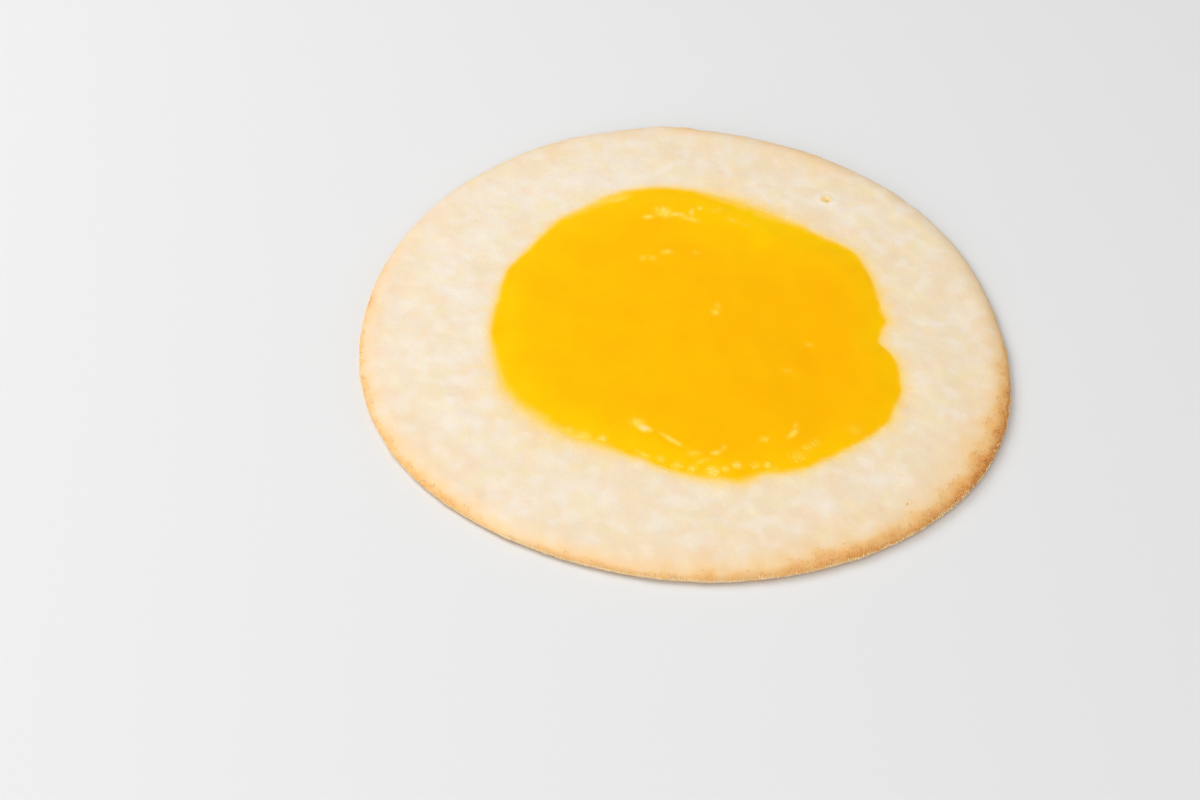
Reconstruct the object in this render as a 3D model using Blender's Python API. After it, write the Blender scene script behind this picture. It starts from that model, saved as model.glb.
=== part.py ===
"""A thin round biscuit with a patch of lemon curd spread over its middle.

Metres, +Z up. The biscuit lies on its flat underside at z = 0, and the middle of its outline stands on the origin.
Both outlines are circles with a few waves in them, as hand-cut dough and spooned curd have.
"""

import math

import bmesh
import bpy
from mathutils import Vector, noise

# Biscuit
MEAN_RADIUS = 0.0420
MIDDLE_HEIGHT = 0.00240
SHOULDER_HEIGHT = 0.00212
BELLY_HEIGHT = 0.00078  # where the rim reaches furthest out
SHOULDER_ROLL = 0.0030  # how far in from the edge the top starts to round over
UNDER_ROUND = 0.0012  # the same, underneath
CROWN_WIDTH = 0.0130  # the top rises gently over this width, from the shoulder to the middle

# Topping
TOPPING_MEAN_REACH = 0.02645
TOPPING_OFFSET = Vector((0.0015, -0.0005))  # its middle, from the biscuit's own
TOPPING_RISE = 0.00036  # how far it stands above the biscuit's top
TOPPING_LENS = 0.0024  # width of its thinning edge

# The shallow dish that the topping lies in
DISH_DEPTH = 0.00036
DISH_WALL = 0.00036
FIT_GAP = 0.0003
SIDE_CLEARANCE = 0.0005

# Waves round an outline: how many crests, their height, and the bearing of one of them in degrees
BISCUIT_WAVES = (
    (2, 0.00104, -35),
    (3, 0.00060, -34),
    (4, 0.00019, 37),
    (5, 0.00014, -26),
    (6, 0.00010, -27),
)
TOPPING_WAVES = (
    (1, 0.00101, 94),
    (2, 0.00153, -44),
    (3, 0.00063, -37),
    (4, 0.00052, 28),
    (5, 0.00039, -32),
    (6, 0.00052, -25),
)

# Single marks on an outline: bearing in degrees, height (below zero for a dent), half width in degrees
BISCUIT_MARKS = ((94, 0.00034, 4),)
TOPPING_MARKS = ((-3.5, -0.0016, 5),)

# The dough is a touch thicker in some places than in others
SWELL_HEIGHT = 0.00016
SWELL_LENGTH = 0.0085
RIPPLE_HEIGHT = 0.00008
RIPPLE_LENGTH = 0.0038
CURD_RIPPLE_HEIGHT = 0.00007
CURD_RIPPLE_LENGTH = 0.0060

# Fineness of the mesh
SEGMENTS = 144
ROLL_STEPS = 5
UNDER_STEPS = 3
TOP_RINGS = 7


# Outlines


def reach(bearing, mean, waves, marks):
    """How far an outline lies from its own middle at a bearing in radians."""
    total = mean
    for crests, height, crest in waves:
        total += height * math.cos(crests * (bearing - math.radians(crest)))
    for place, height, half_width in marks:
        turn = math.remainder(bearing - math.radians(place), math.tau)
        total += height * math.exp(-((turn / math.radians(half_width)) ** 2))
    return total


def around(bearing, distance):
    return Vector((math.cos(bearing), math.sin(bearing))) * distance


def bearings(count):
    return [math.tau * i / count for i in range(count)]


def edge_from_middle(bearing, inset=0.0):
    return around(bearing, reach(bearing, MEAN_RADIUS, BISCUIT_WAVES, BISCUIT_MARKS) - inset)


def biscuit_middle():
    """Where the middle of the waves lies, so that the outline's box is centred on the origin."""
    edge = [edge_from_middle(bearing) for bearing in bearings(SEGMENTS)]
    xs = [point.x for point in edge]
    ys = [point.y for point in edge]
    return -Vector((min(xs) + max(xs), min(ys) + max(ys))) / 2


BISCUIT_MIDDLE = biscuit_middle()
TOPPING_MIDDLE = BISCUIT_MIDDLE + TOPPING_OFFSET


def biscuit_edge(bearing, inset=0.0):
    return BISCUIT_MIDDLE + edge_from_middle(bearing, inset)


def topping_edge(bearing, inset=0.0, share=1.0):
    outline = reach(bearing, TOPPING_MEAN_REACH, TOPPING_WAVES, TOPPING_MARKS)
    return TOPPING_MIDDLE + around(bearing, (outline - inset) * share)


# Heights


def swell(spot):
    """How much thicker the dough is at a spot than its even height."""
    broad = noise.noise(Vector((spot.x, spot.y, 0)) / SWELL_LENGTH)
    fine = noise.noise(Vector((spot.x, spot.y, 1)) / RIPPLE_LENGTH)
    return SWELL_HEIGHT * broad + RIPPLE_HEIGHT * fine


def raised(spot, height):
    """The point over a spot, with the dough's swell in proportion to its height."""
    return Vector((spot.x, spot.y, height * (1 + swell(spot) / MIDDLE_HEIGHT)))


def crown(inset):
    """Even height of the biscuit's top at a distance in from its edge."""
    share = min(1.0, (inset - SHOULDER_ROLL) / CROWN_WIDTH)
    return SHOULDER_HEIGHT + (MIDDLE_HEIGHT - SHOULDER_HEIGHT) * math.sin(share * math.pi / 2)


def dish_level(spot, below):
    """A point below the level that the biscuit's top has round the dish."""
    return raised(spot, MIDDLE_HEIGHT) - Vector((0, 0, below))


def rim_section():
    """Inset and height of each ring up the rim, from the flat underside out to the belly and in to the shoulder."""
    rise = SHOULDER_HEIGHT - BELLY_HEIGHT
    section = []
    for step in range(UNDER_STEPS):
        angle = math.pi / 2 * step / UNDER_STEPS
        section.append((UNDER_ROUND * (1 - math.sin(angle)), BELLY_HEIGHT * (1 - math.cos(angle))))
    for step in range(ROLL_STEPS + 1):
        angle = math.pi / 2 * step / ROLL_STEPS
        section.append((SHOULDER_ROLL * (1 - math.cos(angle)), BELLY_HEIGHT + rise * math.sin(angle)))
    return section


# Rings of points, and the skin over them


def underside_rings():
    """The flat foot, from its middle outwards."""
    foot = UNDER_ROUND
    rings = [[BISCUIT_MIDDLE.to_3d()]]
    for share, count in ((0.22, SEGMENTS // 4), (0.55, SEGMENTS // 2)):
        spots = [BISCUIT_MIDDLE + edge_from_middle(bearing, foot) * share for bearing in bearings(count)]
        rings.append([spot.to_3d() for spot in spots])
    return rings


def rim_rings():
    turns = bearings(SEGMENTS)
    return [[raised(biscuit_edge(bearing, inset), height) for bearing in turns] for inset, height in rim_section()]


def top_rings():
    """The biscuit's bare top, from the shoulder in to the edge of the dish."""
    rings = []
    for step in range(1, TOP_RINGS + 1):
        ring = []
        for bearing in bearings(SEGMENTS):
            shoulder = biscuit_edge(bearing, SHOULDER_ROLL)
            spot = shoulder.lerp(topping_edge(bearing, -SIDE_CLEARANCE), step / TOP_RINGS)
            ring.append(raised(spot, crown((biscuit_edge(bearing) - spot).length)))
        rings.append(ring)
    return rings


def dish_rings():
    """The dish's sloping wall and its floor, in to the middle."""
    foot_of_wall = DISH_WALL - SIDE_CLEARANCE
    steps = (
        (foot_of_wall, 1.0, SEGMENTS),
        (0, 0.88, SEGMENTS),
        (0, 0.72, SEGMENTS),
        (0, 0.54, SEGMENTS // 2),
        (0, 0.34, SEGMENTS // 2),
        (0, 0.16, SEGMENTS // 4),
    )
    rings = []
    for inset, share, count in steps:
        spots = [topping_edge(bearing, inset, share) for bearing in bearings(count)]
        rings.append([dish_level(spot, DISH_DEPTH) for spot in spots])
    return rings + [[dish_level(TOPPING_MIDDLE, DISH_DEPTH)]]


def curd_ripple(spot):
    return CURD_RIPPLE_HEIGHT * noise.noise(Vector((spot.x, spot.y, 2)) / CURD_RIPPLE_LENGTH)


def curd_top(spot, inset):
    """The curd's top: a thin lens that rounds down over its last stretch."""
    share = min(1.0, inset / TOPPING_LENS)
    rise = TOPPING_RISE * math.sqrt(1 - (1 - share) ** 2)
    return dish_level(spot, -rise - share * curd_ripple(spot))


def curd_underside(spot):
    return dish_level(spot, DISH_DEPTH - FIT_GAP)


def curd_rings():
    """The curd from the middle of its underside out, round its edge and back in over its top."""
    counts = (SEGMENTS // 4, SEGMENTS // 2, SEGMENTS // 2, SEGMENTS, SEGMENTS)
    shares = (0.16, 0.34, 0.54, 0.72, 0.88)
    tuck = 0.05 * TOPPING_LENS
    rings = [[curd_underside(TOPPING_MIDDLE)]]
    for share, count in zip(shares, counts):
        rings.append([curd_underside(topping_edge(bearing, 0, share)) for bearing in bearings(count)])
    rings.append([curd_underside(topping_edge(bearing, tuck)) for bearing in bearings(SEGMENTS)])
    for part in (0, 0.05, 0.2, 0.5, 1):
        inset = part * TOPPING_LENS
        rings.append([curd_top(topping_edge(bearing, inset), inset) for bearing in bearings(SEGMENTS)])
    for share, count in zip(reversed(shares[:-1]), reversed(counts[:-1])):
        rings.append([curd_top(topping_edge(bearing, 0, share), TOPPING_LENS) for bearing in bearings(count)])
    return rings + [[curd_top(TOPPING_MIDDLE, TOPPING_LENS)]]


def join(mesh, ring, following):
    """Faces between two rings, where one may have a single point or half as many points as the other."""
    if len(ring) > len(following):
        ring, following = following, ring
    count = len(following)
    for i in range(count):
        near = following[i], following[(i + 1) % count]
        if len(ring) == 1:
            mesh.faces.new((*near, ring[0]))
        elif len(ring) == count:
            mesh.faces.new((*near, ring[(i + 1) % count], ring[i]))
        elif i % 2 == 0:
            mesh.faces.new((*near, ring[i // 2]))
        else:
            inner = ring[i // 2], ring[(i // 2 + 1) % len(ring)]
            mesh.faces.new((*near, inner[1]))
            mesh.faces.new((near[0], inner[1], inner[0]))


def skinned(name, rings, material):
    """One closed body whose skin runs over the rings in order."""
    mesh = bmesh.new()
    made = [[mesh.verts.new(point) for point in ring] for ring in rings]
    for ring, following in zip(made, made[1:]):
        join(mesh, ring, following)
    bmesh.ops.triangulate(mesh, faces=mesh.faces)
    bmesh.ops.recalc_face_normals(mesh, faces=mesh.faces)
    data = bpy.data.meshes.new(name)
    mesh.to_mesh(data)
    mesh.free()
    data.shade_smooth()
    data.set_sharp_from_angle(angle=math.radians(50))
    data.materials.append(material)
    body = bpy.data.objects.new(name, data)
    bpy.context.scene.collection.objects.link(body)
    return body


# Materials


def plain_material(name, colour, roughness):
    material = bpy.data.materials.new(name)
    material.use_nodes = True
    surface = material.node_tree.nodes["Principled BSDF"]
    surface.inputs["Base Color"].default_value = (*colour, 1)
    surface.inputs["Roughness"].default_value = roughness
    surface.inputs["Metallic"].default_value = 0
    return material


def pale_baked_dough():
    return plain_material("pale_baked_dough", (0.90, 0.76, 0.55), 0.85)


def lemon_curd():
    return plain_material("lemon_curd", (0.98, 0.52, 0.01), 0.28)


# Pieces


def clear_scene():
    for old in list(bpy.data.objects):
        bpy.data.objects.remove(old, do_unlink=True)


def make_biscuit():
    rings = underside_rings() + rim_rings() + top_rings() + dish_rings()
    return skinned("biscuit", rings, pale_baked_dough())


def make_topping():
    return skinned("lemon_topping", curd_rings(), lemon_curd())


def main():
    clear_scene()
    make_biscuit()
    make_topping()


main()
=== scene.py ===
# %% [markdown]
# # A lemon biscuit
# A thin round biscuit of pale dough, rolled out, cut and baked until only its rim has turned brown, with a
# spoonful of lemon curd spread over its middle. The construction model already fixes where everything is and
# how big it is. This script gives it a surface: uneven dough, sandy toasted edges, glossy curd.
# All lengths are in metres, +Z is up, and the biscuit lies on z = 0.

# %% Load the construction model
import math

import bmesh
import bpy
import numpy as np
from mathutils import Euler, Matrix, Vector, noise
from mathutils.bvhtree import BVHTree


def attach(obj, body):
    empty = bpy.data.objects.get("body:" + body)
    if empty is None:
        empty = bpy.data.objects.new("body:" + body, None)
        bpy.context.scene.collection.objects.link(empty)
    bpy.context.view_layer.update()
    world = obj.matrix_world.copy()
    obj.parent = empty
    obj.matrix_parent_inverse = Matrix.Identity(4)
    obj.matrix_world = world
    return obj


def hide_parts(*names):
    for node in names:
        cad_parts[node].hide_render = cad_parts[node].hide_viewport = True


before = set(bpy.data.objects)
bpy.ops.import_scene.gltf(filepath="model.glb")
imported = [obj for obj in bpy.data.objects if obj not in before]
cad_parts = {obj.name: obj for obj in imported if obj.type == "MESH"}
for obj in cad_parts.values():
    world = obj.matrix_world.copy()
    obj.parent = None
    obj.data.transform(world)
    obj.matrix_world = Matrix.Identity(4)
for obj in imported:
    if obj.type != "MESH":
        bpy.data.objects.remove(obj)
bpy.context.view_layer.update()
MM = 0.001

# %% [markdown]
# ## Where the picture is taken from
# A camera at 46 degrees above the table, with a long lens, sees a round thing as a flattened circle with almost
# no perspective. The camera looks at a point a little in front and to the left of the biscuit, so the biscuit
# sits above and to the right of the picture's middle.

# %% Camera
CAMERA_ELEVATION = math.radians(46)
CAMERA_DISTANCE = 0.356
CAMERA_LENS_MM = 84
CAMERA_SENSOR_MM = 36
NEAREST_SEEN = 0.01
LOOK_FROM_MIDDLE = Vector((-10.9 * MM, -11.15 * MM, 1.2 * MM))


def aim(thing, target):
    """Turns a camera or a light so that it looks at a point."""
    thing.rotation_euler = (Vector(target) - thing.location).to_track_quat("-Z", "Y").to_euler()


def place_camera(middle):
    """Adds the camera and aims it a little to one side of the biscuit's middle."""
    target = Vector((middle[0], middle[1], 0)) + LOOK_FROM_MIDDLE
    away = Vector((0, -math.cos(CAMERA_ELEVATION), math.sin(CAMERA_ELEVATION)))
    bpy.ops.object.camera_add(location=target + away * CAMERA_DISTANCE)
    camera = bpy.context.active_object
    camera.name = "picture_camera"
    camera.data.lens = CAMERA_LENS_MM
    camera.data.sensor_width = CAMERA_SENSOR_MM
    camera.data.clip_start = NEAREST_SEEN
    aim(camera, target)
    bpy.context.scene.camera = camera


# %% [markdown]
# ## Two outlines
# Nobody cuts or spoons a perfect circle. Both outlines here are circles with a few waves round them, each with
# a number of crests, a height and the bearing of one crest. Single marks, such as a dent or a corner, are small
# bell curves on top. The same waves draw the construction model, so the finished pieces land on it. Its faces
# are too large for the smallest marks, so those are only here. Bearings start at the right and turn towards the
# back.

# %% Outline formula
BISCUIT_RADIUS = 42.0 * MM
MODEL_POINTS = 144  # round each outline of the construction model
# Number of crests, their height, and the bearing of one of them in degrees
BISCUIT_WAVES = (
    (2, 1.04 * MM, -35),
    (3, 0.60 * MM, -34),
    (4, 0.19 * MM, 37),
    (5, 0.14 * MM, -26),
    (6, 0.10 * MM, -27),
)
# Bearing in degrees, height (below zero for a dent), and half width in degrees
BISCUIT_MARKS = ((94, 0.34 * MM, 4),)
# A hollow at the right and a small corner at the back, too slight for the construction model
FINE_MARKS = ((-9, -0.15 * MM, 5), (6, -0.20 * MM, 10), (88.7, 0.33 * MM, 1.6), (92, 0.13 * MM, 3))
CURD_RADIUS = 26.45 * MM
CURD_OFFSET = np.array((1.5 * MM, -0.5 * MM))
CURD_WAVES = (
    (1, 1.01 * MM, 94),
    (2, 1.53 * MM, -44),
    (3, 0.63 * MM, -37),
    (4, 0.52 * MM, 28),
    (5, 0.39 * MM, -32),
    (6, 0.52 * MM, -25),
)
# The deep notch at the right, and the small corners and hollows that the back of a spoon leaves
CURD_MARKS = (
    (-159, 0.25 * MM, 3),
    (-108, -0.25 * MM, 2.5),
    (-46, -0.20 * MM, 4),
    (-33, 0.30 * MM, 2.5),
    (-22, 0.25 * MM, 3),
    (-3.5, -1.6 * MM, 5),
    (2.5, -0.25 * MM, 2),
    (6, 0.30 * MM, 2.5),
    (36, 0.30 * MM, 5),
    (47, -0.35 * MM, 4),
    (51, -0.25 * MM, 2),
    (66, 0.35 * MM, 5),
    (75, 0.42 * MM, 6),
    (118, -0.25 * MM, 4),
    (130, 0.35 * MM, 4),
    (143, -0.20 * MM, 5),
    (153, 0.25 * MM, 3),
    (165, -0.30 * MM, 4),
    (180, 0.20 * MM, 4),
    (215, -0.30 * MM, 4),
    (229, 0.25 * MM, 5),
    (280, 0.45 * MM, 3),
    (288, -0.45 * MM, 3),
    (299, 0.35 * MM, 4),
)


def reach(bearing, mean, waves, marks):
    """How far an outline lies from its own middle, at bearings in radians."""
    total = np.full_like(bearing, mean, dtype=float)
    for crests, height, crest in waves:
        total = total + height * np.cos(crests * (bearing - math.radians(crest)))
    for place, height, half_width in marks:
        turn = np.remainder(bearing - math.radians(place) + math.pi, math.tau) - math.pi
        total = total + height * np.exp(-((turn / math.radians(half_width)) ** 2))
    return total


def biscuit_reach(bearing):
    return reach(bearing, BISCUIT_RADIUS, BISCUIT_WAVES, BISCUIT_MARKS + FINE_MARKS)


def curd_reach(bearing):
    return reach(bearing, CURD_RADIUS, CURD_WAVES, CURD_MARKS)


def polar(xy, middle):
    """Distance and bearing of each point from a middle."""
    arm = xy - middle
    return np.hypot(arm[:, 0], arm[:, 1]), np.arctan2(arm[:, 1], arm[:, 0])


def middle_of_waves():
    """The construction model's box is centred on the origin, which puts the waves' middle slightly off it."""
    bearing = np.linspace(0, math.tau, MODEL_POINTS, endpoint=False)
    out = reach(bearing, BISCUIT_RADIUS, BISCUIT_WAVES, BISCUIT_MARKS)
    edge = out[:, None] * np.stack((np.cos(bearing), np.sin(bearing)), axis=1)
    return -(edge.min(axis=0) + edge.max(axis=0)) / 2


BISCUIT_MIDDLE = middle_of_waves()
CURD_MIDDLE = BISCUIT_MIDDLE + CURD_OFFSET
place_camera(BISCUIT_MIDDLE)
print("middle of the biscuit's waves, mm:", (BISCUIT_MIDDLE / MM).round(3))

# %% [markdown]
# ## Working in rings
# Round food is easiest to shape ring by ring, like throwing a pot: start from a circle of edges, extrude it,
# lift it and scale it about the middle, and do it again. These helpers do what E, G and S do by hand. A wide
# flat middle doesn't need all those points, so a coarser circle is bridged to the last ring and filled with an
# even grid, which also leaves no pole where the faces would pinch.


# %% Ring helpers
def add_circle(count, radius, height):
    place = (0, 0, height)
    bpy.ops.mesh.primitive_circle_add(vertices=count, radius=radius, location=place, fill_type="NOTHING")


def start_ring(name, count, radius, height):
    bpy.ops.object.select_all(action="DESELECT")
    add_circle(count, radius, height)
    piece = bpy.context.active_object
    piece.name = name
    bpy.ops.object.transform_apply(location=True, rotation=True, scale=True)
    bpy.ops.object.mode_set(mode="EDIT")
    bpy.ops.mesh.select_all(action="SELECT")
    return piece


def draw_rings(stops):
    """From the selected ring at the first stop, one extrusion for each further radius and height."""
    for (radius, height), (next_radius, next_height) in zip(stops, stops[1:]):
        bpy.ops.mesh.extrude_edges_move(TRANSFORM_OT_translate={"value": (0, 0, next_height - height)})
        share = next_radius / radius
        bpy.ops.transform.resize(value=(share, share, 1), center_override=(0, 0, 0))


def pick_rings(piece, *stops):
    """Selects the rings at these radii and heights, and nothing else."""
    slack = 0.002 * MM
    bpy.ops.mesh.select_all(action="DESELECT")
    mesh = bmesh.from_edit_mesh(piece.data)
    for vert in mesh.verts:
        out = math.hypot(vert.co.x, vert.co.y)
        on_ring = [abs(out - radius) < slack and abs(vert.co.z - height) < slack for radius, height in stops]
        vert.select_set(any(on_ring))
    mesh.select_flush_mode()
    bmesh.update_edit_mesh(piece.data)


def close_with_grid(piece, stop, inner_stop, count):
    """Bridges the ring at stop to a coarser one inside it, and fills that with an even grid."""
    bpy.ops.mesh.select_all(action="DESELECT")
    add_circle(count, *inner_stop)
    pick_rings(piece, stop, inner_stop)
    bpy.ops.mesh.bridge_edge_loops()
    pick_rings(piece, inner_stop)
    bpy.ops.mesh.fill_grid(span=count // 4)


def leave_edit(piece):
    bpy.ops.mesh.select_all(action="SELECT")
    bpy.ops.mesh.normals_make_consistent(inside=False)
    bpy.ops.object.mode_set(mode="OBJECT")
    print(piece.name, "has", len(piece.data.polygons), "faces")


# %% [markdown]
# ## The dough blank
# The biscuit is a disc only 2.4 mm thick. Its rim was cut square and rounded over as it baked: a tight round
# underneath, a wide soft one on top. Two quarter ellipses give that section. The rings lie close together
# where the dough shows, and stop under the curd.

# %% Section of the rim
SKIN = 0.13 * MM  # the dough stays this far inside the outline, to leave room for its grain
MIDDLE_HEIGHT = 2.40 * MM
SHOULDER_HEIGHT = 2.12 * MM
BELLY_HEIGHT = 0.78 * MM
SHOULDER_ROLL = 3.0 * MM
UNDER_ROUND = 1.2 * MM
CROWN_WIDTH = 13.0 * MM
RIM_POINTS = 800
BELLY = (BISCUIT_RADIUS - SKIN, BELLY_HEIGHT)  # radius and height where the rim reaches furthest out
ROLL_STEPS = 14
UNDER_STEPS = 6
TOP_STEP = 0.33 * MM  # from ring to ring of the bare top
TOP_LIMIT = 21.5 * MM  # those rings stop here, well under the curd
# How far inside the last ring each even grid starts, and how many points lie round it
TOP_GRID_GAP, TOP_GRID_POINTS = 1.5 * MM, 100
FOOT_GRID_GAP, FOOT_GRID_POINTS = 0.8 * MM, 400


def crown(inset):
    """Height of the bare top at a distance in from the edge."""
    share = min(1.0, (inset - SHOULDER_ROLL) / CROWN_WIDTH)
    return SHOULDER_HEIGHT + (MIDDLE_HEIGHT - SHOULDER_HEIGHT) * math.sin(share * math.pi / 2)


def over_the_rim(steps):
    rise = SHOULDER_HEIGHT - BELLY_HEIGHT
    angles = [math.pi / 2 * step / steps for step in range(steps + 1)]
    return [(BELLY[0] - SHOULDER_ROLL * (1 - math.cos(a)), BELLY_HEIGHT + rise * math.sin(a)) for a in angles]


def under_the_rim(steps):
    angles = [math.pi / 2 * step / steps for step in range(steps + 1)]
    return [(BELLY[0] - UNDER_ROUND * (1 - math.cos(a)), BELLY_HEIGHT * (1 - math.sin(a))) for a in angles]


def bare_top():
    insets = np.arange(SHOULDER_ROLL + TOP_STEP, BELLY[0] - TOP_LIMIT, TOP_STEP)
    return [(BELLY[0] - inset, crown(inset)) for inset in insets]


# %% Throw the blank
dough = start_ring("dough", RIM_POINTS, *BELLY)
upper_stops = over_the_rim(ROLL_STEPS) + bare_top()
draw_rings(upper_stops)
close_with_grid(dough, upper_stops[-1], (TOP_LIMIT - TOP_GRID_GAP, MIDDLE_HEIGHT), TOP_GRID_POINTS)
pick_rings(dough, BELLY)
lower_stops = under_the_rim(UNDER_STEPS)
draw_rings(lower_stops)
foot_radius = lower_stops[-1][0] - FOOT_GRID_GAP
close_with_grid(dough, lower_stops[-1], (foot_radius, 0), FOOT_GRID_POINTS)
leave_edit(dough)

# %% [markdown]
# ## Reading and writing a whole mesh at once
# The next steps move every point by a formula. Reading all places into one array is much faster than visiting
# the points one by one. Noise is the exception: it comes from Blender's own noise, one point at a time.

# %% Mesh arrays
ODD_TURN = (0.6, 0.4, 0.3)  # radians about each axis


def read_places(piece):
    places = np.empty(len(piece.data.vertices) * 3)
    piece.data.vertices.foreach_get("co", places)
    return places.reshape(-1, 3)


def write_places(piece, places):
    piece.data.vertices.foreach_set("co", places.ravel())
    piece.data.update()


def read_normals(piece):
    normals = np.empty(len(piece.data.vertices) * 3)
    piece.data.vertex_normals.foreach_get("vector", normals)
    return normals.reshape(-1, 3)


def lumps(places, length, layer=0.0):
    """Smooth noise between about -0.5 and 0.5, with bumps about this long. Each layer is another noise."""
    shift = Vector((0, 0, layer))
    return np.array([noise.noise(Vector(place) / length + shift) for place in places])


def turned(places):
    """The places turned at odd angles, so that the noise's grid doesn't lie level with the dough."""
    return places @ np.array(Euler(ODD_TURN).to_matrix())


def smooth_step(low, high, value):
    """0 up to low, 1 from high on, and an eased rise between them."""
    share = np.clip((value - low) / (high - low), 0, 1)
    return share * share * (3 - 2 * share)


def store(piece, name, values):
    """Keeps one number for each point, for the material to read."""
    attribute = piece.data.attributes.new(name, "FLOAT", "POINT")
    attribute.data.foreach_set("value", np.asarray(values, dtype=np.float32))


def make_active(piece):
    bpy.ops.object.select_all(action="DESELECT")
    piece.select_set(True)
    bpy.context.view_layer.objects.active = piece


# %% [markdown]
# ## From a disc to this biscuit
# The round blank is pulled out to the wavy outline. The pull fades to nothing at the middle, so the grid there
# stays even. Then the dough is made a touch thicker in some places than in others: swells some 8 mm long from
# rolling by hand, and shorter ones from baking.

# %% Wavy outline and uneven thickness
SWELL_HEIGHT = 0.16 * MM
SWELL_LENGTH = 8.5 * MM
RIPPLE_HEIGHT = 0.08 * MM
RIPPLE_LENGTH = 3.8 * MM


def pull_to_outline(places, radius, outline, middle):
    """Moves a round blank's points out to the outline that lies round the middle."""
    out, bearing = polar(places[:, :2], np.zeros(2))
    far = out + (outline(bearing) - radius) * smooth_step(0, 1, out / radius)
    places[:, 0] = middle[0] + far * np.cos(bearing)
    places[:, 1] = middle[1] + far * np.sin(bearing)
    return places


def swell(places):
    """How much the dough's thickness differs from even, the same as in the construction model."""
    flat = places * (1, 1, 0)
    broad = lumps(flat, SWELL_LENGTH)
    fine = lumps(flat + (0, 0, RIPPLE_LENGTH), RIPPLE_LENGTH)
    return SWELL_HEIGHT * broad + RIPPLE_HEIGHT * fine


places = pull_to_outline(read_places(dough), BISCUIT_RADIUS, biscuit_reach, BISCUIT_MIDDLE)
places[:, 2] *= 1 + swell(places) / MIDDLE_HEIGHT
write_places(dough, places)
print("dough is", round(places[:, 2].max() / MM, 2), "mm thick at most")

# %% [markdown]
# ## Finer faces where something small happens
# A blister a millimetre wide can't be shaped in faces a third of a millimetre wide. Making the whole biscuit
# finer would be wasteful, so only the faces round a small detail are subdivided, as with a few clicks in
# Edit Mode. The biscuit has two such spots: a caramelised blister at the back, and a dark speck in front.

# %% Divide a few faces
# Place in mm from the biscuit's middle, and radius in mm
BLISTER = (19.8, 25.7, 0.85)
BLISTER_CORE = (20.0, 25.4, 0.24)
SPECK = (26.7, -29.7, 0.15)
# The faces are divided out to this many radii from each
NEAR_BLISTER = 2.4
NEAR_SPECK = 3


def refine(piece, wanted, cuts):
    """Divides each face that wanted says yes to, given its middle, into smaller ones."""
    make_active(piece)
    bpy.ops.object.mode_set(mode="EDIT")
    bpy.ops.mesh.select_mode(type="FACE")
    bpy.ops.mesh.select_all(action="DESELECT")
    mesh = bmesh.from_edit_mesh(piece.data)
    for face in mesh.faces:
        face.select_set(wanted(face.calc_center_median()))
    bmesh.update_edit_mesh(piece.data)
    bpy.ops.mesh.subdivide(number_cuts=cuts)
    bpy.ops.mesh.select_mode(type="VERT")
    bpy.ops.object.mode_set(mode="OBJECT")
    print(piece.name, "now has", len(piece.data.polygons), "faces")


def spot_distance(places, spot):
    """Distance from a spot's middle, as a share of its radius."""
    out, _ = polar(places[:, :2], BISCUIT_MIDDLE + np.array(spot[:2]) * MM)
    return out / (spot[2] * MM)


def near_a_spot(point):
    place = np.array(point)[None, :]
    blistered = spot_distance(place, BLISTER)[0] < NEAR_BLISTER
    return point.z > BELLY_HEIGHT and bool(blistered or spot_distance(place, SPECK)[0] < NEAR_SPECK)


refine(dough, near_a_spot, cuts=3)
places = read_places(dough)

# %% [markdown]
# ## How brown, and where
# The oven browned the rim unevenly: broad and blotchy at the lower right, a thin line at the upper right, and
# a touch of gold elsewhere. A list says how strong and how wide the browning is at a number of bearings,
# and values between them are interpolated. From the right round to the back right the browning is set lighter,
# partly as painted light that makes up for the shade on that side of the rim. Below a wavering height the rim
# is paler, and the underside takes an even gold. The result is stored on the mesh for the material.

# %% Toasting of the rim
# Bearing in degrees, strength from 0 to 1, and width in mm in from the edge
TOASTING = (
    (-178, 0.44, 2.0),
    (-166, 0.41, 1.9),
    (-155, 0.46, 2.1),
    (-140, 0.49, 2.0),
    (-125, 0.38, 1.3),
    (-110, 0.44, 1.3),
    (-95, 0.49, 1.6),
    (-85, 0.45, 2.2),
    (-75, 0.49, 2.1),
    (-65, 0.69, 2.7),
    (-55, 0.60, 2.2),
    (-45, 0.77, 2.0),
    (-35, 0.98, 2.2),
    (-25, 0.97, 2.5),
    (-15, 0.82, 2.0),
    # from here round to the back right the browning is lighter, partly painted light against the shade there
    (-5, 0.59, 1.7),
    (10, 0.30, 1.5),
    (25, 0.19, 1.4),
    (45, 0.17, 1.8),
    (54, 0.26, 3.2),
    (63, 0.38, 3.7),
    (75, 0.24, 2.6),
    (85, 0.25, 2.4),
    (88, 0.50, 2.0),
    (92, 0.26, 2.2),
    (105, 0.10, 2.6),
    (115, 0.19, 3.2),
    (130, 0.16, 2.6),
    (150, 0.16, 2.4),
    (167, 0.42, 1.8),
)
UNDERSIDE_GOLD = 0.36
FADE_POWER = 1.1  # 1 is an even fade inwards, and more keeps the edge darker
PALE_EDGE_MM = 0.6  # up to about this height the rim is paler
PALE_EDGE_WAVER_MM = 0.3
PALE_EDGE_FADE = 0.4 * MM
BROWNED_FROM = 0.3  # how toasted dough is that looks brown
HOT_SIDE = math.radians(-35)  # bearing of the side that was hotter in the oven


def by_bearing(table, bearing):
    """Each column of a table after its bearings, interpolated all the way round."""
    stops, *columns = zip(*table)
    return [np.interp(np.degrees(bearing), stops, values, period=360) for values in columns]


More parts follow.
